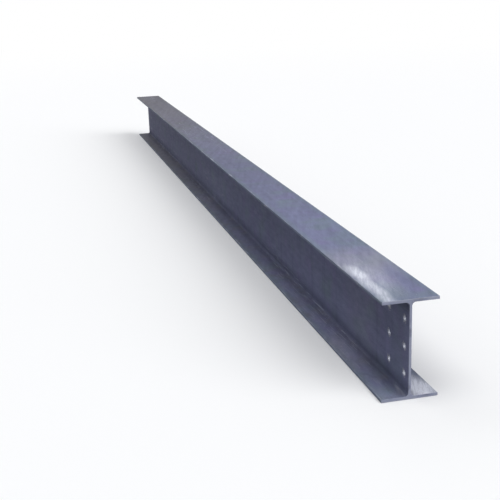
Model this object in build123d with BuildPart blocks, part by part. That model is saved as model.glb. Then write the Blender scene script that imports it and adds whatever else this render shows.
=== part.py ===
"""H-section steel beam, hot rolled in one piece and drilled for bolts at both ends.

The beam lies along Y with its web upright and +Z up. The origin is on the underside
of the bottom flange, at mid-width and mid-length. All lengths are in millimetres.
"""

import os

from build123d import *

# Rolled section
section_depth = 350.0
flange_width = 200.0
flange_thickness = 11.0
web_thickness = 9.0
root_radius = 13.0
toe_radius = 2.0

# Sawn length, and the ground arris round each sawn end
beam_length = 6000.0
end_arris = 1.0

# Bolt holes through the web, one grid at each end, centred on mid-depth
bolt_diameter = 20.0
bolt_clearance = 2.0
hole_columns = 2
hole_rows = 3
column_spacing = 130.0
row_pitch = 95.0
end_distance = 40.0
hole_arris = 0.5

# How far every cut runs past the wall it goes through
cut_overrun = 5.0

# Sizes that follow from the ones above
half_flange = flange_width / 2
half_web = web_thickness / 2
mid_depth = section_depth / 2
web_head = section_depth - flange_thickness
hole_radius = (bolt_diameter + bolt_clearance) / 2
grid_length = column_spacing * (hole_columns - 1)
grid_centre = beam_length / 2 - end_distance - grid_length / 2

with BuildPart() as i_beam:
    # The rolled profile: two parallel flanges on a thinner web, with a generous radius
    # in the four roots and a small one on the eight corners of the flange toes.
    with BuildSketch(Plane.XZ) as section:
        with BuildLine():
            Polyline(
                (-half_flange, 0),
                (half_flange, 0),
                (half_flange, flange_thickness),
                (half_web, flange_thickness),
                (half_web, web_head),
                (half_flange, web_head),
                (half_flange, section_depth),
                (-half_flange, section_depth),
                (-half_flange, web_head),
                (-half_web, web_head),
                (-half_web, flange_thickness),
                (-half_flange, flange_thickness),
                close=True,
            )
        make_face()
        root_corners = section.vertices().group_by(lambda corner: abs(corner.X))[0]
        fillet(root_corners, radius=root_radius)
        toe_corners = section.vertices().group_by(lambda corner: abs(corner.X))[-1]
        fillet(toe_corners, radius=toe_radius)
    extrude(amount=beam_length / 2, both=True)

    # The sawn ends have their sharp edges ground off all round the profile.
    sawn_edges = i_beam.faces().filter_by(Axis.Y).edges()
    chamfer(sawn_edges, length=end_arris)

    # The same grid of bolt holes goes through the web near each end.
    for end_side in (-1, 1):
        with BuildSketch(Plane.YZ) as bolt_grid:
            with Locations((end_side * grid_centre, mid_depth)):
                with GridLocations(column_spacing, row_pitch, hole_columns, hole_rows):
                    Circle(hole_radius)
        extrude(amount=half_web + cut_overrun, both=True, mode=Mode.SUBTRACT)

    # Each hole is deburred on both faces of the web.
    hole_rims = i_beam.edges().filter_by(GeomType.CIRCLE).filter_by(Plane.YZ)
    chamfer(hole_rims, length=hole_arris)

i_beam.part.label = "i_beam"

os.makedirs("parts", exist_ok=True)
export_step(i_beam.part, "parts/i_beam.step")
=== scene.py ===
"""Looks of a hot rolled steel i-beam under blue-grey shop paint.

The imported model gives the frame: the beam lies along Y with its web upright, its
underside on the floor and +Z up. All lengths are in metres.
"""

import logging
import math
from collections.abc import Callable
from dataclasses import dataclass, field
from enum import Enum
from typing import Any, ClassVar, Union

import bmesh
import bpy
from mathutils import Matrix, Vector


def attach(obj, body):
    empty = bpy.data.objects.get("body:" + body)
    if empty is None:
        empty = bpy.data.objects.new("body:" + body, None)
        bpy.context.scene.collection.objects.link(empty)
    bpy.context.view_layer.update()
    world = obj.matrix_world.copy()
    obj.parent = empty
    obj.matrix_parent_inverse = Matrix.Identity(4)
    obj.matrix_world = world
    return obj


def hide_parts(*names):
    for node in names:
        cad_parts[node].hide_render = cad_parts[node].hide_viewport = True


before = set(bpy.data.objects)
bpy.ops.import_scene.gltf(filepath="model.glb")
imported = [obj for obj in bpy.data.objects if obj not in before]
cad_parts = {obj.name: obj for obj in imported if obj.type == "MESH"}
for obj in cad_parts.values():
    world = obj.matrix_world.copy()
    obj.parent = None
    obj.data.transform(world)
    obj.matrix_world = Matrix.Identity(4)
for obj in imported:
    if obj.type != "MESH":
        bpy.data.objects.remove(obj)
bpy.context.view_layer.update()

log = logging.getLogger("i_beam")

BEAM_NODE = "i_beam"
BEAM_BODY = "root"
BAKE_MAP = "OFBake"

# Places that are closer than this are the same
HAIR = 1e-5
# A face looks along an axis where its normal reaches this far along it
SQUARE = 0.9
# The bevel profile that is round
ROUND = 0.5
# Along the beam and up
ALONG, UP = (0.0, 1.0, 0.0), (0.0, 0.0, 1.0)
# Degrees from looking straight down to looking level
LEVEL = 90.0
# How far the smears on the paint lie askew, in radians
SMEAR = -0.30
# The screen's tone curve: below the knee a slope, above it a power
FULL, KNEE, SLOPE, LIFT, POWER = 255, 0.04045, 12.92, 0.055, 2.4

Rgb = tuple[int, int, int]
Place = tuple[float, float, float]
Share = Union["Pin", float]
Tint = Union["Pin", Rgb]
Settings = dict[str, Any]
Inputs = dict[int | str, Any]


def linear(colour: Rgb) -> tuple[float, float, float, float]:
    """Turns a screen colour into the linear one that a shader takes.

    Args:
        colour: Red, green and blue from 0 to 255.

    Returns:
        Linear red, green and blue from 0 to 1, and an alpha of 1.
    """
    parts = [part / FULL for part in colour]
    light = [p / SLOPE if p <= KNEE else ((p + LIFT) / (1 + LIFT)) ** POWER for p in parts]
    return (light[0], light[1], light[2], 1.0)


class Pin:
    """A node's output, which takes part in sums as a number does."""

    def __init__(self, bench: "NodeBench", socket: bpy.types.NodeSocket) -> None:
        """Keeps the bench and the socket that this value comes from."""
        self.bench = bench
        self.socket = socket

    def _sum(self, operation: str, first: Share, second: Share = 0.0) -> "Pin":
        """Adds one Math node.

        Args:
            operation: The Math node's operation.
            first: Its first value.
            second: Its second value, where it takes two.

        Returns:
            The node's result.
        """
        return self.bench.node("ShaderNodeMath", {"operation": operation}, {0: first, 1: second})

    def __add__(self, other: Share) -> "Pin":
        """Adds another value."""
        return self._sum("ADD", self, other)

    __radd__ = __add__

    def __sub__(self, other: Share) -> "Pin":
        """Takes another value away."""
        return self._sum("SUBTRACT", self, other)

    def __rsub__(self, other: Share) -> "Pin":
        """Takes this value away from another."""
        return self._sum("SUBTRACT", other, self)

    def __mul__(self, other: Share) -> "Pin":
        """Multiplies by another value."""
        return self._sum("MULTIPLY", self, other)

    __rmul__ = __mul__

    def __truediv__(self, other: Share) -> "Pin":
        """Divides by another value."""
        return self._sum("DIVIDE", self, other)

    def __pow__(self, power: float) -> "Pin":
        """Raises to a power."""
        return self._sum("POWER", self, power)

    def __abs__(self) -> "Pin":
        """Drops the sign."""
        return self._sum("ABSOLUTE", self)

    def least(self, other: Share) -> "Pin":
        """Takes the smaller of two values."""
        return self._sum("MINIMUM", self, other)

    def most(self, other: Share) -> "Pin":
        """Takes the larger of two values."""
        return self._sum("MAXIMUM", self, other)

    def rise(self, start: float, end: float) -> "Pin":
        """Turns this value into a smooth step.

        Args:
            start: The value at which the step is 0.
            end: The value at which it is 1, above or below the start.

        Returns:
            The step, from 0 to 1.
        """
        return self.bench.node(
            "ShaderNodeMapRange",
            {"interpolation_type": "SMOOTHSTEP"},
            {"Value": self, "From Min": start, "From Max": end},
        )


class Run(Enum):
    """How a patch of a pattern is drawn out along the beam's three directions."""

    EVEN = (1.0, 1.0, 1.0)
    ROLLED = (1.0, 9.0, 1.0)
    DRAWN = (1.0, 60.0, 1.0)
    DOWN = (1.0, 1.0, 14.0)


class NodeBench:
    """A tree of shader nodes under work."""

    def __init__(self, tree: bpy.types.NodeTree) -> None:
        """Takes up a tree and empties it."""
        self.tree = tree
        self.tree.nodes.clear()

    def add(
        self, kind: str, settings: Settings | None = None, inputs: Inputs | None = None
    ) -> bpy.types.Node:
        """Adds a node, sets it up and feeds its sockets.

        Args:
            kind: The node's type.
            settings: Properties of the node, set before its sockets are fed.
            inputs: A value or a Pin for each socket, by its number or name.

        Returns:
            The node.
        """
        made = self.tree.nodes.new(kind)
        for name, value in (settings or {}).items():
            setattr(made, name, value)
        for key, value in (inputs or {}).items():
            if isinstance(value, Pin):
                self.tree.links.new(value.socket, made.inputs[key])
            else:
                made.inputs[key].default_value = value
        return made

    def node(
        self, kind: str, settings: Settings | None = None, inputs: Inputs | None = None, output: int | str = 0
    ) -> Pin:
        """Adds a node and takes one of its outputs.

        Args:
            kind: The node's type.
            settings: Properties of the node.
            inputs: A value or a Pin for each socket.
            output: The output's number or name.

        Returns:
            That output.
        """
        return Pin(self, self.add(kind, settings, inputs).outputs[output])

    def shown(self) -> Pin:
        """Tells what is looked at from what lights the beam.

        Returns:
            1 for what the camera or a glossy surface sees, and 0 for the rest.
        """
        return self.node("ShaderNodeLightPath", output="Is Camera Ray").most(
            self.node("ShaderNodeLightPath", output="Is Glossy Ray")
        )


class FinishBench(NodeBench):
    """One material under work, with the few tools that its finishes share."""

    MIX_SHARE, MIX_UNDER, MIX_OVER, MIXED = 0, 6, 7, 2
    MILLIMETRE = 0.001

    def __init__(self, name: str) -> None:
        """Starts a material and finds where each point of the surface is.

        Args:
            name: The material's name.
        """
        self.material = bpy.data.materials.new(name)
        self.material.use_nodes = True
        super().__init__(self.material.node_tree)
        self.place = self.node("ShaderNodeTexCoord", output="Object")
        self.x, self.y, self.z = (
            self.node("ShaderNodeSeparateXYZ", inputs={0: self.place}, output=axis) for axis in "XYZ"
        )

    def blend(self, share: Share, under: Tint, over: Tint) -> Pin:
        """Lays one colour over another.

        Args:
            share: How much of the upper colour shows, from 0 to 1.
            under: The lower colour.
            over: The upper colour.

        Returns:
            The blended colour.
        """
        lower, upper = (tint if isinstance(tint, Pin) else linear(tint) for tint in (under, over))
        return self.node(
            "ShaderNodeMix",
            {"data_type": "RGBA"},
            {self.MIX_SHARE: share, self.MIX_UNDER: lower, self.MIX_OVER: upper},
            self.MIXED,
        )

    def shade(self, colour: Pin, strength: Share) -> Pin:
        """Makes a colour lighter or darker by a factor."""
        return self.node("ShaderNodeVectorMath", {"operation": "SCALE"}, {0: colour, "Scale": strength})

    def away(self, middle: Place, reach: Place) -> Pin:
        """Measures how far a point is from the middle of an oval patch.

        Args:
            middle: The patch's middle.
            reach: How far it reaches each way.

        Returns:
            0 at the middle and 1 at the rim.
        """
        across, along, up = (
            abs(axis - centre) / far for axis, centre, far in zip((self.x, self.y, self.z), middle, reach)
        )
        return (across**2.0 + along**2.0 + up**2.0) ** 0.5

    def finish(
        self, steady: dict[str, float], varying: dict[str, Pin], relief: Pin, strength: float
    ) -> bpy.types.Material:
        """Joins the shader to the surface.

        Args:
            steady: Shader values that are the same all over, by socket.
            varying: Shader values that change over the surface, by socket.
            relief: The surface's fine relief, in millimetres.
            strength: How strongly the relief is drawn, from 0 to 1.

        Returns:
            The finished material.
        """
        bumped = self.node(
            "ShaderNodeBump", inputs={"Strength": strength, "Distance": self.MILLIMETRE, "Height": relief}
        )
        surface = self.node("ShaderNodeBsdfPrincipled", inputs={**steady, **varying, "Normal": bumped})
        self.add("ShaderNodeOutputMaterial", inputs={"Surface": surface})
        return self.material


@dataclass(frozen=True)
class Ramp:
    """A smooth step: the value it starts at, the value it is full at, and its height there."""

    start: float
    full: float
    amount: float = 1.0

    def over(self, value: Pin) -> Pin:
        """Steps up as a value goes from the start to the full one."""
        return value.rise(self.start, self.full) * self.amount


@dataclass(frozen=True)
class Clouds:
    """A cloudy pattern: the width of a patch, what shows of it, how much, and how it lies."""

    patch: float
    start: float = 0.0
    full: float = 1.0
    amount: float = 1.0
    run: Run = Run.EVEN
    detail: float = 2.0
    shift: float = 0.0
    turn: float = 0.0

    MIDDLE: ClassVar[float] = 0.5

    def grain(self, bench: FinishBench) -> Pin:
        """Draws the bare pattern.

        Args:
            bench: The material's bench.

        Returns:
            The pattern, from 0 to 1 and mostly near a half.
        """
        laid = bench.node(
            "ShaderNodeMapping",
            {"vector_type": "TEXTURE"},
            {
                "Vector": bench.place,
                "Location": (self.shift,) * 3,
                "Rotation": (0.0, 0.0, self.turn),
                "Scale": tuple(self.patch * part for part in self.run.value),
            },
        )
        return bench.node("ShaderNodeTexNoise", inputs={"Vector": laid, "Scale": 1.0, "Detail": self.detail})

    def patches(self, bench: FinishBench) -> Pin:
        """Draws it as patches on a clear ground."""
        return self.grain(bench).rise(self.start, self.full) * self.amount

    def swing(self, bench: FinishBench) -> Pin:
        """Draws it as a swing to either side of nothing."""
        return (self.grain(bench) - self.MIDDLE) * self.amount


@dataclass(frozen=True)
class Bands:
    """Even bands: the axis they cross, their pitch, and how far, finely and closely they bend."""

    across: str
    pitch: float
    bent: float
    detail: float
    bends: float = 1.0

    WAVES_A_TURN: ClassVar[float] = 20.0

    def draw(self, bench: FinishBench) -> Pin:
        """Draws the bands.

        Args:
            bench: The material's bench.

        Returns:
            The bands, from 0 to 1.
        """
        return bench.node(
            "ShaderNodeTexWave",
            {"wave_type": "BANDS", "bands_direction": self.across},
            {
                "Vector": bench.place,
                "Scale": 2 * math.pi / self.WAVES_A_TURN / self.pitch,
                "Distortion": self.bent,
                "Detail": self.detail,
                "Detail Scale": self.bends,
            },
            "Fac",
        )


@dataclass(frozen=True)
class RolledSection:
    """Sizes of the rolled profile and of the length it is sawn to."""

    depth: float = 0.350
    flange_width: float = 0.200
    flange_thickness: float = 0.011
    web_thickness: float = 0.009
    root_radius: float = 0.013
    toe_radius: float = 0.002
    length: float = 6.000
    end_arris: float = 0.001

    @property
    def half_flange(self) -> float:
        """Half the flange's width."""
        return self.flange_width / 2

    @property
    def half_web(self) -> float:
        """Half the web's thickness."""
        return self.web_thickness / 2

    @property
    def half_length(self) -> float:
        """Half the beam's length."""
        return self.length / 2

    @property
    def web_head(self) -> float:
        """How high the underside of the top flange is."""
        return self.depth - self.flange_thickness


@dataclass(frozen=True)
class BoltGrid:
    """The bolt holes through the web, one grid at each end."""

    radius: float = 0.011
    columns: int = 2
    rows: int = 3
    column_spacing: float = 0.130
    row_pitch: float = 0.095
    end_distance: float = 0.040
    arris: float = 0.0005

    def middle(self, section: RolledSection) -> float:
        """How far each grid's middle is from the beam's."""
        half_grid = self.column_spacing * (self.columns - 1) / 2
        return section.half_length - self.end_distance - half_grid

    def centres(self, section: RolledSection) -> list[tuple[float, float]]:
        """Lists the holes.

        Args:
            section: The beam's sizes.

        Returns:
            Each hole's place along the beam and its height.
        """
        columns = [self.column_spacing * (i - (self.columns - 1) / 2) for i in range(self.columns)]
        rows = [self.row_pitch * (i - (self.rows - 1) / 2) for i in range(self.rows)]
        return [
            (side * self.middle(section) + along, section.depth / 2 + up)
            for side in (-1, 1)
            for along in columns
            for up in rows
        ]


class BeamGauge:
    """Distances on the beam that its finishes follow."""

    INWARD = Ramp(0.6, 0.95)

    def __init__(self, bench: FinishBench, section: RolledSection, grid: BoltGrid) -> None:
        """Measures from the beam's middle and from its outer faces.

        Args:
            bench: The material's bench.
            section: The beam's sizes.
            grid: Its bolt holes.
        """
        self.section = section
        self.grid = grid
        self.bench = bench
        self.side = abs(bench.x)
        self.along = abs(bench.y)
        self.inward = bench.z.least(section.depth - bench.z)

    def toe_gap(self) -> Pin:
        """How far inside the flange's toe a point is."""
        return self.section.half_flange - self.side

    def edge_gap(self) -> Pin:
        """Measures from the nearest arris of a flange or of a sawn end.

        Returns:
            How far from it a point is.
        """
        half_plate = self.section.flange_thickness / 2
        plate_gap = half_plate - abs(self.inward - half_plate)
        end_gap = self.section.half_length - self.along
        return self.toe_gap().most(plate_gap).least(end_gap)

    def root_gap(self) -> Pin:
        """Measures from the root of the nearest flange, inside the channels.

        Returns:
            How far from it a point is.
        """
        across = self.side - self.section.half_web
        up = self.inward - self.section.flange_thickness
        return (across**2.0 + up**2.0) ** 0.5

    def inside(self) -> Pin:
        """1 in the channels beside the web and 0 on the outer faces."""
        thickness = self.section.flange_thickness
        return self.inward.rise(thickness * self.INWARD.start, thickness * self.INWARD.full)

    def hole_gap(self) -> Pin:
        """Measures across the web from the middle of the nearest bolt hole.

        Returns:
            How far from it a point is.
        """
        across = abs(abs(self.along - self.grid.middle(self.section)) - self.grid.column_spacing / 2)
        up = abs(self.bench.z - self.section.depth / 2)
        row = up.least(abs(up - self.grid.row_pitch))
        return (across**2.0 + row**2.0) ** 0.5

    def facing(self) -> Pin:
        """How much the surface faces up, from -1 to 1."""
        normal = self.bench.node("ShaderNodeTexCoord", output="Normal")
        return self.bench.node("ShaderNodeSeparateXYZ", inputs={0: normal}, output="Z")


@dataclass(frozen=True)
class PaleSpot:
    """A pale patch on the paint: on the top flange partly rubbed paint and partly painted highlight, on the
    lower flange a painted highlight.
    """

    middle: Place
    reach: Place
    strength: float


@dataclass(frozen=True)
class ShopPaint:
    """Dull blue-grey paint over the rolled skin: clouded, dusty, rubbed and chipped, with painted highlights
    and painted shade.
    """

    blue_grey: Rgb = (116, 120, 149)
    violet: Rgb = (121, 117, 154)
    green: Rgb = (112, 127, 138)
    dust: Rgb = (111, 109, 112)
    chalk: Rgb = (152, 151, 165)
    # Pale paint for the rubbed patches and the painted highlights
    pale: Rgb = (222, 225, 236)
    primer: Rgb = (160, 163, 178)
    steel: Rgb = (148, 149, 152)
    # Grime, and painted shade in the roots and channels, blue-grey as shade is
    grime_and_shade: Rgb = (58, 62, 82)

    # Clouds in the coat, its greener rims at the toes and its uneven tone
    violet_clouds: Clouds = Clouds(0.10, 0.46, 0.70, 0.55, shift=3.1)
    green_clouds: Clouds = Clouds(0.15, 0.48, 0.74, 0.60, shift=8.7)
    green_rim: Ramp = Ramp(0.034, 0.006, 0.45)
    tones: tuple[Clouds, ...] = (
        Clouds(0.22, amount=0.40, run=Run.ROLLED, shift=5.3),
        Clouds(0.05, amount=0.26, detail=3.0, shift=2.2),
        Clouds(0.009, amount=0.24, run=Run.DRAWN, detail=3.0, shift=9.4),
        Clouds(0.022, amount=0.50, run=Run.ROLLED, detail=3.0, shift=4.9, turn=SMEAR),
    )

    # Weather, full on what faces up: a chalky band near one end and dust towards the other, and painted shade
    # that darkens what faces up away from the near end
    sheltered: float = 0.25
    open_sky: Ramp = Ramp(0.40, 0.90, 0.75)
    chalk_middle: float = -2.56
    chalk_band: Ramp = Ramp(0.26, 0.04, 0.90)
    chalk_smears: Clouds = Clouds(0.06, run=Run.ROLLED, shift=6.0, turn=SMEAR)
    dusty: Ramp = Ramp(-2.2, 2.9)
    dust_share: float = 0.65
    dust_film: Clouds = Clouds(0.30, 0.35, 0.70, 0.30, run=Run.ROLLED, detail=3.0, shift=1.7)
    most_dust: float = 0.90
    # Painted shade, darker away from the near end
    far_shades: tuple[Ramp, ...] = (Ramp(-2.5, -0.6, 0.18), Ramp(1.9, 2.9, 0.10))

    # Dirt and painted shade: painted shade darkens the roots and the channels beside the web, dirt streaks
    # run down the web, and dust settles on the lower flange
    root_dirt_and_shade_band: Ramp = Ramp(0.060, 0.008)
    root_dirt_and_shade_share: float = 0.43
    root_swing: Clouds = Clouds(0.04, amount=0.50, run=Run.ROLLED, shift=1.1)
    # Painted shade over the whole channels, with dirt streaks on it
    channel_shade_share: float = 0.10
    streaks: Clouds = Clouds(0.034, 0.50, 0.80, 0.16, run=Run.DOWN, detail=4.0, shift=5.8)
    most_dirt_and_shade: float = 0.75
    lying_flat: Ramp = Ramp(0.55, 0.95)
    settled: Clouds = Clouds(0.08, 0.42, 0.75, 0.35, detail=4.0, shift=3.9)

    # Pale patches near the near end, with ragged rims and drawn out in strands: on the top flange's left edge
    # partly rubbed paint and partly painted highlight, and on the lower flange's right half a painted
    # highlight
    pale_spots: tuple[PaleSpot, ...] = (
        PaleSpot((-0.064, -2.695, 0.350), (0.038, 0.140, 0.008), 0.92),
        PaleSpot((-0.068, -2.830, 0.350), (0.036, 0.230, 0.008), 0.72),
        PaleSpot((-0.074, -2.965, 0.350), (0.032, 0.100, 0.008), 0.52),
        PaleSpot((-0.038, -2.745, 0.350), (0.078, 0.250, 0.008), 0.28),
        # A painted highlight on the lower flange's right half
        PaleSpot((0.060, -2.945, 0.011), (0.075, 0.120, 0.006), 1.15),
    )
    pale_rim: Ramp = Ramp(1.20, 0.0)
    rags: Clouds = Clouds(0.030, amount=0.70, run=Run.ROLLED, detail=4.0, shift=4.4, turn=SMEAR)
    strands: Clouds = Clouds(0.007, amount=1.64, run=Run.ROLLED, detail=3.0, shift=7.9, turn=SMEAR)
    most_pale: float = 0.96

    # Arrises worn through to the primer, deepest at chips and where slings go round
    wear_reach: float = 0.0006
    wear_rim: Ramp = Ramp(0.0008, -0.0006)
    wear_share: float = 0.25
    chips: Clouds = Clouds(0.012, 0.50, 0.78, run=Run.ROLLED, detail=4.0, shift=2.9)
    chip_reach: float = 0.004
    chip_spells: Clouds = Clouds(0.25, 0.42, 0.62, 0.005, run=Run.ROLLED, shift=6.6)
    sling_place: float = 1.45
    sling_reach: Ramp = Ramp(0.30, 0.05, 0.006)
    bare_spots: Clouds = Clouds(0.008, 0.60, 0.72, shift=9.9)

    # Rings flaked off round the bolt holes, just outside their rims
    ring_gap: float = 0.002
    ring: Ramp = Ramp(0.006, 0.002, 0.90)
    flakes: Clouds = Clouds(0.006, 0.36, 0.60, shift=0.7)
    flake_spells: Clouds = Clouds(0.022, 0.36, 0.52, shift=5.1)

    # Scratches, where the beam was handled
    handled: Clouds = Clouds(0.12, 0.48, 0.62, run=Run.ROLLED, shift=2.6)
    long_scratches: Clouds = Clouds(
        0.0026, 0.655, 0.70, 0.60, run=Run.DRAWN, detail=1.0, shift=3.7, turn=0.02
    )
    askew_scratches: Clouds = Clouds(
        0.0022, 0.68, 0.73, 0.45, run=Run.ROLLED, detail=1.0, shift=8.3, turn=2 * SMEAR
    )

    # Fine grit, as dark and light specks of one pattern
    grit: Clouds = Clouds(0.0045, detail=3.0, shift=6.2)
    dark_specks: Ramp = Ramp(0.56, 0.74, 0.22)
    light_specks: Ramp = Ramp(0.44, 0.28, 0.18)

    # The surface: how rough and shiny it is, and its relief in millimetres
    roughness: float = 0.80
    sheen: Clouds = Clouds(0.06, amount=0.22, run=Run.ROLLED, detail=3.0, shift=4.1)
    pale_rougher: float = 0.12
    dirt_and_shade_rougher: float = 0.10
    bare_smoother: float = 0.18
    bare_metal: float = 0.70
    shine: float = 0.14
    skin: tuple[Clouds, ...] = (
        Clouds(0.0030, amount=0.09, detail=1.0, shift=0.4),
        Clouds(0.0022, amount=0.07, run=Run.DRAWN, shift=1.9),
        Clouds(0.020, amount=0.22, run=Run.ROLLED, detail=3.0, shift=7.1),
        Clouds(0.16, amount=0.70, detail=1.0, shift=8.2),
    )
    chip_depth: float = 0.10
    scratch_depth: float = 0.06
    relief_strength: float = 0.55

    def _paint(self, gauge: BeamGauge) -> Pin:
        """Clouds the paint, dusts it towards the far end and darkens it away from the near end with painted
        shade.

        Args:
            gauge: Distances on the beam.

        Returns:
            The paint's colour, before wear.
        """
        bench = gauge.bench
        colour = bench.blend(self.violet_clouds.patches(bench), self.blue_grey, self.violet)
        colour = bench.blend(self.green_clouds.patches(bench), colour, self.green)
        colour = bench.blend(self.green_rim.over(gauge.toe_gap()), colour, self.green)
        upturned = self.sheltered + self.open_sky.over(gauge.facing())
        band = self.chalk_band.over(abs(bench.y - self.chalk_middle)) * self.chalk_smears.grain(bench)
        colour = bench.blend(band * upturned, colour, self.chalk)
        far = self.dusty.over(bench.y) * upturned
        film = far * (self.dust_share + self.dust_film.patches(bench))
        colour = bench.blend(film.least(self.most_dust), colour, self.dust)
        tone = sum((clouds.swing(bench) for clouds in self.tones), 1.0)
        # Painted shade: darker away from the near end, most on what faces up
        far_shade = sum((ramp.over(bench.y) for ramp in self.far_shades), 0.0)
        return bench.shade(colour, tone * (1.0 - far_shade * upturned))

    def _dirt_and_shade(self, gauge: BeamGauge) -> Pin:
        """Finds the grime and the painted shade in the channels.

        Args:
            gauge: Distances on the beam.

        Returns:
            The share of grime and painted shade, from 0 to 1.
        """
        dirt_and_shade = self.root_dirt_and_shade_share + self.root_swing.swing(gauge.bench)
        # Painted shade along the roots, made uneven
        root = self.root_dirt_and_shade_band.over(gauge.root_gap()) * dirt_and_shade
        channel_dirt_and_shade = self.channel_shade_share + self.streaks.patches(gauge.bench)
        return ((root + channel_dirt_and_shade) * gauge.inside()).least(self.most_dirt_and_shade)

    def _find_pale_spots(self, bench: FinishBench) -> Pin:
        """Finds the pale patches: partly rubbed paint and partly painted highlight.

        Args:
            bench: The material's bench.

        Returns:
            The share of pale paint, from 0 to 1.
        """
        ragged = self.rags.swing(bench)
        stranded = 1.0 + self.strands.swing(bench)
        share = None
        for pale_spot in self.pale_spots:
            rim = self.pale_rim.over(bench.away(pale_spot.middle, pale_spot.reach) + ragged)
            one = rim * stranded * pale_spot.strength
            share = one if share is None else share.most(one)
        return share.least(self.most_pale)

    def _chipping(self, gauge: BeamGauge) -> Pin:
        """Finds where the coat is off along the arrises and round the bolt holes.

        Args:
            gauge: Distances on the beam.

        Returns:
            The share of bare primer, from 0 to 1.
        """
        bench = gauge.bench
        chips = self.chips.patches(bench)
        slings = self.sling_reach.over(abs(gauge.along - self.sling_place))
        reach = self.wear_reach + chips * (self.chip_reach + self.chip_spells.patches(bench) + slings)
        worn = self.wear_rim.over(gauge.edge_gap() - reach)
        worn = worn * (self.wear_share + chips * (1.0 - self.wear_share))
        ring = self.ring.over(abs(gauge.hole_gap() - (gauge.grid.radius + self.ring_gap)))
        flaked = self.flakes.patches(bench) * self.flake_spells.patches(bench)
        return worn.most(ring * flaked)

    def _scratches(self, bench: FinishBench) -> Pin:
        """Finds the thin scratches that handling leaves on the beam.

        Args:
            bench: The material's bench.

        Returns:
            The share of pale scratch, from 0 to 1.
        """
        scratches = self.long_scratches.patches(bench).most(self.askew_scratches.patches(bench))
        return scratches * self.handled.patches(bench)

    def make(self, section: RolledSection, grid: BoltGrid) -> bpy.types.Material:
        """Builds the material.

        Args:
            section: The beam's sizes.
            grid: Its bolt holes.

        Returns:
            The material.
        """
        bench = FinishBench("shop_paint")
        gauge = BeamGauge(bench, section, grid)
        colour = self._paint(gauge)
        dirt_and_shade = self._dirt_and_shade(gauge)
        # Grime and painted shade: the roots and channels are darkened and blued
        colour = bench.blend(dirt_and_shade, colour, self.grime_and_shade)
        settled = self.lying_flat.over(gauge.facing()) * self.settled.patches(bench) * gauge.inside()
        colour = bench.blend(settled, colour, self.dust)

        pale_share = self._find_pale_spots(bench)
        # Pale patches, partly rubbed paint and partly painted highlight
        colour = bench.blend(pale_share, colour, self.pale)
        grit = self.grit.grain(bench)
        colour = bench.shade(colour, 1.0 - self.dark_specks.over(grit) + self.light_specks.over(grit))
        scratch = self._scratches(bench)
        chipped = self._chipping(gauge)
        colour = bench.blend(chipped.most(scratch), colour, self.primer)
        bare = chipped * self.bare_spots.patches(bench)
        colour = bench.blend(bare, colour, self.steel)

        roughness = self.roughness + self.sheen.swing(bench)
        roughness = roughness + pale_share * self.pale_rougher + dirt_and_shade * self.dirt_and_shade_rougher
        skin = sum((clouds.swing(bench) for clouds in self.skin), 0.0)
        return bench.finish(
            {"Specular IOR Level": self.shine},
            {
                "Base Color": colour,
                "Roughness": roughness - bare * self.bare_smoother,
                "Metallic": bare * self.bare_metal,
            },
            skin - chipped * self.chip_depth - scratch * self.scratch_depth,
            self.relief_strength,
        )


@dataclass(frozen=True)
class SawnFace:
    """A sawn end under a thin coat, with the blade's marks showing through."""

    # Thin paint over sawn steel, partly lightened as painted light on the end faces
    thin_paint_and_light: Rgb = (141, 146, 170)
    bright: Rgb = (174, 177, 188)
    stain: Rgb = (104, 106, 118)

    # The blade's marks, their depth and which of them shine
    teeth: Bands = Bands("Z", 0.0018, 2.5, 2.0, 0.04)
    tooth_depth: float = 0.09
    tooth_tops: Ramp = Ramp(0.62, 0.95)

    # Stains, the clear steel between them and the scraped rims of both flanges
    clouds: Clouds = Clouds(0.035, detail=3.0, shift=2.3)
    stained: Ramp = Ramp(0.52, 0.72, 0.55)
    clear: Ramp = Ramp(0.58, 0.40, 0.65)
    rims: Ramp = Ramp(0.006, 0.001, 0.25)
    most_scraped: float = 0.85

    # The surface
    roughness: float = 0.50
    sheen: Clouds = Clouds(0.01, amount=0.25, shift=6.1)
    scraped_smoother: float = 0.10
    scraped_metal: float = 0.45
    shine: float = 0.35
    skin: Clouds = Clouds(0.004, amount=0.08, detail=3.0, shift=3.3)
    relief_strength: float = 0.70

    def make(self, section: RolledSection, grid: BoltGrid) -> bpy.types.Material:
        """Builds the material.

        Args:
            section: The beam's sizes.
            grid: Its bolt holes.

        Returns:
            The material.
        """
        bench = FinishBench("sawn_face")
        teeth = self.teeth.draw(bench)
        clouds = self.clouds.grain(bench)
        colour = bench.blend(self.stained.over(clouds), self.thin_paint_and_light, self.stain)
        rims = self.rims.over((section.depth - bench.z).least(bench.z))
        scraped = (self.tooth_tops.over(teeth) * self.clear.over(clouds) + rims).least(self.most_scraped)
        colour = bench.blend(scraped, colour, self.bright)
        roughness = self.roughness + self.sheen.swing(bench) - scraped * self.scraped_smoother
        return bench.finish(
            {"Specular IOR Level": self.shine},
            {"Base Color": colour, "Roughness": roughness, "Metallic": scraped * self.scraped_metal},
            teeth * self.tooth_depth + self.skin.swing(bench),
            self.relief_strength,
        )


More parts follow.
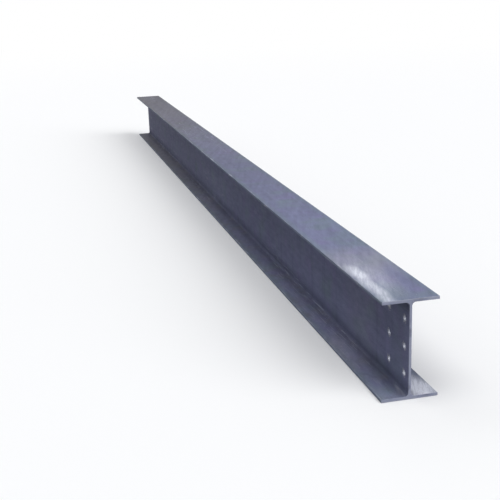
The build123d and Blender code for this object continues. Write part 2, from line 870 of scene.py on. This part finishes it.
@dataclass(frozen=True)
class DrilledBore:
    """Drilled steel with the drill's rings and a little paint let in at the mouths."""

    steel: Rgb = (166, 169, 179)
    paint: Rgb = (122, 127, 148)

    # The drill's rings and what they do to the surface
    rings: Bands = Bands("X", 0.0009, 1.5, 1.0)
    ring_depth: float = 0.05
    ring_dark: float = 0.88
    ring_light: float = 0.18
    ring_rougher: float = 0.10

    # Paint in the mouths, from this share of the way out, with a ragged edge
    mouth_start: float = 0.45
    ragged: Clouds = Clouds(0.006, detail=3.0, shift=5.5)
    let_in: Ramp = Ramp(0.50, 1.20, 0.80)

    # The surface
    roughness: float = 0.38
    paint_rougher: float = 0.18
    steel_metal: float = 0.25
    skin: Clouds = Clouds(0.002, amount=0.03, shift=1.2)
    relief_strength: float = 0.60

    def make(self, section: RolledSection, grid: BoltGrid) -> bpy.types.Material:
        """Builds the material.

        Args:
            section: The beam's sizes.
            grid: Its bolt holes.

        Returns:
            The material.
        """
        bench = FinishBench("drilled_bore")
        rings = self.rings.draw(bench)
        mouth = abs(bench.x).rise(section.half_web * self.mouth_start, section.half_web)
        painted = self.let_in.over(mouth + self.ragged.grain(bench))
        colour = bench.blend(painted, self.steel, self.paint)
        return bench.finish(
            {},
            {
                "Base Color": bench.shade(colour, self.ring_dark + rings * self.ring_light),
                "Roughness": self.roughness + rings * self.ring_rougher + painted * self.paint_rougher,
                "Metallic": (1.0 - painted) * self.steel_metal,
            },
            rings * self.ring_depth + self.skin.swing(bench),
            self.relief_strength,
        )


class FlatPattern:
    """The beam's surface laid flat at one scale, on a map of its own.

    The skin is opened along a bottom toe and cut in two halfway along. The halves stand
    side by side. In a row above them are the sawn ends and, drawn larger, the bores.
    """

    BORE_SCALE = 2.4
    SAME_GAP = 1e-10

    def __init__(
        self, section: RolledSection, grid: BoltGrid, shape: bmesh.types.BMesh, margin: float
    ) -> None:
        """Measures round the profile, on the ring of edges halfway along the beam.

        Args:
            section: The beam's sizes.
            grid: Its bolt holes.
            shape: Its mesh.
            margin: The room left round each part of the pattern.
        """
        self.section = section
        self.holes = grid.centres(section)
        self.radius = grid.radius
        self.margin = margin
        self.sheet = section.half_length + section.flange_width + 3 * margin
        ring = {edge for edge in shape.edges if all(abs(corner.co.y) < HAIR for corner in edge.verts)}
        toe = Vector((section.half_flange, section.toe_radius))
        start = min((corner for edge in ring for corner in edge.verts), key=lambda c: (c.co.xz - toe).length)
        self.path, self.marks = [start.co.xz], [0.0]
        last, here = None, start
        while last is None or here is not start:
            onward = [edge for edge in here.link_edges if edge in ring and edge is not last]
            last = min(onward, key=lambda edge: edge.other_vert(here).co.z)
            here = last.other_vert(here)
            self.marks.append(self.marks[-1] + last.calc_length())
            self.path.append(here.co.xz)

    def _run(self, place: Vector) -> float:
        """Measures how far round the profile a point lies, by the first of its nearest sides.

        Args:
            place: The point.

        Returns:
            Its distance from the bottom toe, round the profile.
        """
        nearest, found = math.inf, 0.0
        for mark, first, second in zip(self.marks, self.path, self.path[1:]):
            side = second - first
            share = min(max((place.xz - first).dot(side) / side.length_squared, 0.0), 1.0)
            gap = (first + side * share - place.xz).length
            if gap < nearest - self.SAME_GAP:
                nearest, found = gap, mark + side.length * share
        return found

    def skin(self, middle: Vector, place: Vector) -> tuple[float, float]:
        """Lays a corner of the rolled skin in its half.

        Args:
            middle: The middle of the corner's face.
            place: The corner.

        Returns:
            Its place on the pattern.
        """
        whole = self.marks[-1]
        rear = middle.y > 0
        run = self._run(place)
        run -= whole * round((run - self._run(middle)) / whole)
        across = run + self.margin + rear * (whole + self.margin)
        return across, place.y + self.margin + (not rear) * self.section.half_length

    def sawn_end(self, middle: Vector, place: Vector) -> tuple[float, float]:
        """Lays a corner of a sawn end above the skin.

        Args:
            middle: The middle of the corner's face.
            place: The corner.

        Returns:
            Its place on the pattern.
        """
        side = math.copysign(1.0, middle.y)
        across = place.z + self.margin + (side > 0) * (self.section.depth + self.margin)
        return across, side * place.x + self.sheet - self.margin - self.section.half_flange

    def bore(self, middle: Vector, place: Vector) -> tuple[float, float]:
        """Lays a corner of a bore beside the sawn ends.

        Args:
            middle: The middle of the corner's face.
            place: The corner.

        Returns:
            Its place on the pattern.
        """
        hole = min(self.holes, key=lambda one: math.hypot(middle.y - one[0], middle.z - one[1]))
        turn, facing = (math.atan2(at.z - hole[1], at.y - hole[0]) for at in (place, middle))
        turn -= 2 * math.pi * round((turn - facing) / (2 * math.pi))
        strip = 2 * math.pi * self.radius * self.BORE_SCALE + self.margin
        first = 2 * (self.section.depth + self.margin) + strip
        across = first + self.holes.index(hole) * strip + turn * self.radius * self.BORE_SCALE
        return across, self.sheet - self.margin - self.section.half_flange - place.x * self.BORE_SCALE


class Part(Enum):
    """What is picked on a mesh."""

    EDGE = "EDGE"
    FACE = "FACE"


class Workpiece:
    """One mesh under work, whose edges and faces are picked by where they lie."""

    def __init__(self, name: str) -> None:
        """Takes up the primitive that was just added and sets its place in its mesh.

        Args:
            name: The piece's name.
        """
        self.body = bpy.context.active_object
        self.body.name = self.body.data.name = name
        bpy.ops.object.transform_apply(location=True, rotation=True, scale=True)

    def hold(self) -> None:
        """Makes this the only selected object."""
        bpy.ops.object.select_all(action="DESELECT")
        self.body.select_set(True)
        bpy.context.view_layer.objects.active = self.body

    def pick(self, part: Part, wanted: Callable[[Any], bool], count: int | None = None) -> None:
        """Selects edges or faces, in edit mode.

        Args:
            part: What is picked.
            wanted: Says of one edge or face whether it is picked.
            count: How many there must be, where that is known.

        Raises:
            ValueError: Another number of them was found.
        """
        bpy.ops.mesh.select_mode(type=part.value)
        bpy.ops.mesh.select_all(action="DESELECT")
        shape = bmesh.from_edit_mesh(self.body.data)
        shape.normal_update()
        among = shape.edges if part is Part.EDGE else shape.faces
        found = [one for one in among if wanted(one)]
        for one in found:
            one.select_set(True)
        bmesh.update_edit_mesh(self.body.data)
        if count is not None and len(found) != count:
            raise ValueError(f"{self.body.name}: {len(found)} picked, not {count}")

    def cut(self, place: Place, across: Place) -> None:
        """Cuts the whole mesh along the plane through a place and across a direction."""
        bpy.ops.mesh.select_all(action="SELECT")
        bpy.ops.mesh.bisect(plane_co=place, plane_no=across)

    def apply(self, kind: str, **settings: Any) -> None:
        """Adds a modifier and applies it.

        Args:
            kind: The modifier's type.
            **settings: Its properties.
        """
        self.hold()
        modifier = self.body.modifiers.new(kind.lower(), kind)
        for name, value in settings.items():
            setattr(modifier, name, value)
        bpy.ops.object.modifier_apply(modifier=modifier.name)


@dataclass
class RolledBeam:
    """The beam itself, rolled in one piece, sawn to length and drilled at both ends."""

    section: RolledSection = field(default_factory=RolledSection)
    grid: BoltGrid = field(default_factory=BoltGrid)
    paint: ShopPaint = field(default_factory=ShopPaint)
    sawn: SawnFace = field(default_factory=SawnFace)
    bore: DrilledBore = field(default_factory=DrilledBore)

    # How finely what is round is divided
    root_facets: int = 10
    toe_facets: int = 4
    hole_facets: int = 48
    arris_facets: int = 2

    # The first step of a sawn end's arris, as a share of it
    arris_step: float = 0.3

    # How far the drills run past the web, and the width of the cell round a hole
    cut_overrun: float = 0.005
    cell_width: float = 0.060

    # Faces at less than these angles, in degrees, are one face or are shaded as one
    coplanar_angle: float = 1.0
    smooth_angle: float = 30.0

    # How strongly large faces lead the shading, and the room round each part of the pattern
    face_weight: int = 100
    pattern_margin: float = 0.012

    def _is_lengthwise(self, edge: bmesh.types.BMEdge) -> bool:
        """Says whether an edge runs along the beam from end to end."""
        first, second = edge.verts
        return abs(first.co.y - second.co.y) > self.section.half_length

    def _hole_distance(self, place: Vector) -> float:
        """Measures from a point to the nearest hole's middle line."""
        return min(math.hypot(place.y - along, place.z - up) for along, up in self.grid.centres(self.section))

    def _is_rim(self, edge: bmesh.types.BMEdge) -> bool:
        """Says whether an edge is part of a hole's rim on either face of the web.

        Args:
            edge: The edge.

        Returns:
            Whether it is.
        """
        first, second = (corner.co for corner in edge.verts)
        near = self.grid.radius - HAIR < self._hole_distance(first) < self.grid.radius + HAIR
        short = (first - second).length < self.grid.radius / 2
        flush = abs(abs(first.x) - self.section.half_web) < HAIR and abs(first.x - second.x) < HAIR
        return near and short and flush

    def _round_off(self, radius: float, facets: int) -> None:
        """Rounds the picked edges off by a radius, in so many facets."""
        bpy.ops.mesh.bevel(offset=radius, segments=facets, profile=ROUND, affect="EDGES", clamp_overlap=False)

    def roll(self) -> Workpiece:
        """Draws the flanges out of a plain web and rounds the roots and toes.

        Returns:
            The rolled length.
        """
        size = self.section
        bpy.ops.object.select_all(action="DESELECT")
        bpy.ops.mesh.primitive_cube_add(
            size=1.0,
            calc_uvs=False,
            location=(0.0, 0.0, size.depth / 2),
            scale=(size.web_thickness, size.length - 2 * size.end_arris, size.depth),
        )
        piece = Workpiece("steel_beam")
        bpy.ops.object.mode_set(mode="EDIT")
        for height in (size.flange_thickness, size.web_head):
            piece.cut((0.0, 0.0, height), UP)
        reach = size.half_flange - size.half_web
        for side in (-1, 1):
            piece.pick(
                Part.FACE,
                lambda face: face.normal.x * side > SQUARE
                and not size.flange_thickness < face.calc_center_median().z < size.web_head,
                count=2,
            )
            bpy.ops.mesh.extrude_region_move(TRANSFORM_OT_translate={"value": (side * reach, 0.0, 0.0)})
        bpy.ops.mesh.select_all(action="SELECT")
        bpy.ops.mesh.dissolve_limited(angle_limit=math.radians(self.coplanar_angle))

        piece.pick(
            Part.EDGE,
            lambda edge: self._is_lengthwise(edge) and abs(edge.verts[0].co.x) < size.half_flange / 2,
            count=4,
        )
        self._round_off(size.root_radius, self.root_facets)
        piece.pick(
            Part.EDGE,
            lambda edge: self._is_lengthwise(edge) and abs(edge.verts[0].co.x) > size.half_flange - HAIR,
            count=8,
        )
        self._round_off(size.toe_radius, self.toe_facets)
        return piece

    def saw(self, piece: Workpiece) -> None:
        """Draws both sawn ends out by the depth of their ground arris.

        Args:
            piece: The rolled length, short by an arris at each end.
        """
        arris = self.section.end_arris
        narrow, wide = arris * self.arris_step, arris * (1.0 - self.arris_step)
        for side in (-1, 1):
            piece.pick(Part.FACE, lambda face: face.normal.y * side > SQUARE, count=1)
            bpy.ops.mesh.inset(thickness=narrow, depth=wide)
            bpy.ops.mesh.inset(thickness=wide, depth=narrow)

    def drill(self, piece: Workpiece) -> None:
        """Cuts the bolt holes through the web and breaks their sharp rims.

        The beam is first cut into cells, one to a hole, and halfway along, where its flat
        pattern is cut in two.

        Args:
            piece: The sawn beam.
        """
        places = self.grid.centres(self.section)
        first_along, first_up = places[0]
        half_row, half_cell = self.grid.row_pitch / 2, self.cell_width / 2
        levels = sorted({up + side * half_row for _, up in places for side in (-1, 1)})
        stations = sorted({0.0} | {along + side * half_cell for along, _ in places for side in (-1, 1)})
        for level in levels:
            piece.cut((0.0, 0.0, level), UP)
        for station in stations:
            piece.cut((0.0, station, 0.0), ALONG)
        bpy.ops.object.mode_set(mode="OBJECT")

        bpy.ops.object.select_all(action="DESELECT")
        bpy.ops.mesh.primitive_cylinder_add(
            vertices=self.hole_facets,
            calc_uvs=False,
            radius=self.grid.radius,
            depth=self.section.web_thickness + 2 * self.cut_overrun,
            rotation=(0.0, math.pi / 2, 0.0),
        )
        drills = Workpiece("drills")
        bpy.ops.object.mode_set(mode="EDIT")
        for along, up in places[1:]:
            drills.pick(
                Part.FACE,
                lambda face: face.calc_center_median().yz.length < self.grid.radius + HAIR,
                count=self.hole_facets + 2,
            )
            step = (0.0, along - first_along, up - first_up)
            bpy.ops.mesh.duplicate_move(TRANSFORM_OT_translate={"value": step})
        bpy.ops.mesh.select_all(action="SELECT")
        bpy.ops.transform.translate(value=(0.0, first_along, first_up))
        bpy.ops.object.mode_set(mode="OBJECT")
        piece.apply("BOOLEAN", operation="DIFFERENCE", solver="EXACT", object=drills.body)
        bpy.data.meshes.remove(drills.body.data)

        bpy.ops.object.mode_set(mode="EDIT")
        piece.pick(Part.EDGE, self._is_rim, count=2 * self.hole_facets * len(places))
        self._round_off(self.grid.arris, self.arris_facets)
        bpy.ops.object.mode_set(mode="OBJECT")

    def dress(self, piece: Workpiece) -> None:
        """Gives the skin, the sawn ends and the bores their finishes.

        Args:
            piece: The drilled beam.
        """
        for finish in (self.paint, self.sawn, self.bore):
            piece.body.data.materials.append(finish.make(self.section, self.grid))
        at_end = self.section.half_length - self.section.end_arris - HAIR
        mouth = self.grid.radius + self.grid.arris
        bpy.ops.object.mode_set(mode="EDIT")
        regions: tuple[Callable[[Any], bool], ...] = (
            lambda face: abs(face.calc_center_median().y) > at_end,
            lambda face: abs(face.calc_center_median().x) < self.section.half_web - HAIR
            and self._hole_distance(face.calc_center_median()) < mouth,
        )
        for slot, region in enumerate(regions, start=1):
            piece.pick(Part.FACE, region)
            piece.body.active_material_index = slot
            bpy.ops.object.material_slot_assign()
        bpy.ops.object.mode_set(mode="OBJECT")

    def lay_flat(self, piece: Workpiece) -> None:
        """Lays the surface flat on a map of its own.

        Args:
            piece: The dressed beam.
        """
        piece.body.data.uv_layers.new(name=BAKE_MAP)
        bpy.ops.object.mode_set(mode="EDIT")
        shape = bmesh.from_edit_mesh(piece.body.data)
        flat = shape.loops.layers.uv[BAKE_MAP]
        pattern = FlatPattern(self.section, self.grid, shape, self.pattern_margin)
        ways = (pattern.skin, pattern.sawn_end, pattern.bore)
        for face in shape.faces:
            middle = face.calc_center_median()
            for corner in face.loops:
                laid = ways[face.material_index](middle, corner.vert.co)
                corner[flat].uv = Vector(laid) / pattern.sheet
        bmesh.update_edit_mesh(piece.body.data)
        bpy.ops.object.mode_set(mode="OBJECT")

    def build(self) -> bpy.types.Object:
        """Models and dresses the beam and puts it in the place of its CAD node.

        Returns:
            The finished piece.
        """
        piece = self.roll()
        self.saw(piece)
        self.drill(piece)
        self.dress(piece)
        self.lay_flat(piece)
        piece.hold()
        bpy.ops.object.shade_smooth_by_angle(angle=math.radians(self.smooth_angle))
        piece.apply("WEIGHTED_NORMAL", keep_sharp=True, weight=self.face_weight)
        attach(piece.body, BEAM_BODY)
        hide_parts(BEAM_NODE)
        return piece.body


@dataclass(frozen=True)
class StudioFloor:
    """A plain pale floor that keeps the beam's shadow."""

    half_size: float = 60.0
    seen: float = 0.96
    bounced: float = 0.28
    fade_start: float = 4.0
    fade_end: float = 16.0

    def build(self) -> None:
        """Lays the floor."""
        bpy.ops.object.select_all(action="DESELECT")
        bpy.ops.mesh.primitive_plane_add(size=2 * self.half_size)
        floor = bpy.context.active_object
        floor.name = "studio_floor"
        bench = FinishBench("pale_floor")
        seen = bench.node("ShaderNodeBsdfDiffuse", inputs={"Color": (self.seen,) * 3 + (1.0,)})
        bounced = bench.node("ShaderNodeBsdfDiffuse", inputs={"Color": (self.bounced,) * 3 + (1.0,)})
        white = bench.node("ShaderNodeEmission", inputs={"Strength": 1.0})
        distance = (bench.x**2.0 + bench.y**2.0) ** 0.5
        far = distance.rise(self.fade_start, self.fade_end)
        faded = bench.node("ShaderNodeMixShader", inputs={0: far, 1: seen, 2: white})
        mixed = bench.node("ShaderNodeMixShader", inputs={0: bench.shown(), 1: bounced, 2: faded})
        bench.add("ShaderNodeOutputMaterial", inputs={"Surface": mixed})
        floor.data.materials.append(bench.material)


@dataclass(frozen=True)
class SoftSun:
    """A large soft light that shines evenly along the whole beam."""

    name: str
    turn: float
    height: float
    strength: float
    softness: float

    def build(self) -> None:
        """Hangs the light."""
        light = bpy.data.lights.new(self.name, "SUN")
        light.energy = self.strength
        light.angle = math.radians(self.softness)
        lamp = bpy.data.objects.new(self.name, light)
        tilt = Matrix.Rotation(math.radians(LEVEL - self.height), 4, "X")
        lamp.matrix_world = Matrix.Rotation(math.radians(self.turn), 4, "Z") @ tilt
        bpy.context.scene.collection.objects.link(lamp)


@dataclass(frozen=True)
class StudioRoom:
    """The white room round the beam, which fills its shadows."""

    fill: float = 0.32
    tint: Rgb = (246, 249, 255)
    white: Rgb = (255, 255, 255)

    def build(self) -> None:
        """Paints the room."""
        world = bpy.data.worlds.new("studio_room")
        world.use_nodes = True
        bench = NodeBench(world.node_tree)
        white = bench.node("ShaderNodeBackground", inputs={"Color": linear(self.white), "Strength": 1.0})
        soft = bench.node("ShaderNodeBackground", inputs={"Color": linear(self.tint), "Strength": self.fill})
        room = bench.node("ShaderNodeMixShader", inputs={0: bench.shown(), 1: soft, 2: white})
        bench.add("ShaderNodeOutputWorld", inputs={"Surface": room})
        bpy.context.scene.world = world


@dataclass(frozen=True)
class StudioCamera:
    """A camera that looks along the beam from above its near end."""

    place: Place = (-1.1510, -5.6081, 1.3427)
    turn: float = -13.523
    tilt: float = -16.137
    roll: float = -1.944
    lens: float = 66.97
    sensor: float = 36.0

    def build(self) -> None:
        """Sets the camera up."""
        data = bpy.data.cameras.new("camera")
        data.lens = self.lens
        data.sensor_width = self.sensor
        camera = bpy.data.objects.new("camera", data)
        turned = Matrix.Rotation(math.radians(self.turn), 4, "Z")
        tilted = Matrix.Rotation(math.radians(LEVEL + self.tilt), 4, "X")
        rolled = Matrix.Rotation(math.radians(self.roll), 4, "Z")
        camera.matrix_world = Matrix.Translation(self.place) @ turned @ tilted @ rolled
        bpy.context.scene.collection.objects.link(camera)
        bpy.context.scene.camera = camera


def main() -> None:
    """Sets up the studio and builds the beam."""
    logging.basicConfig(level=logging.INFO, format="%(message)s")
    bpy.context.scene.view_settings.view_transform = "Standard"
    StudioCamera().build()
    StudioRoom().build()
    StudioFloor().build()
    SoftSun("front_key", turn=37.0, height=35.0, strength=1.95, softness=55.0).build()
    SoftSun("left_soft", turn=-75.0, height=74.0, strength=0.88, softness=36.0).build()
    SoftSun("back_fill", turn=195.0, height=30.0, strength=0.60, softness=60.0).build()

    beam = RolledBeam().build()
    log.info("%s: %d faces", beam.name, len(beam.data.polygons))


if __name__ == "__main__":
    main()
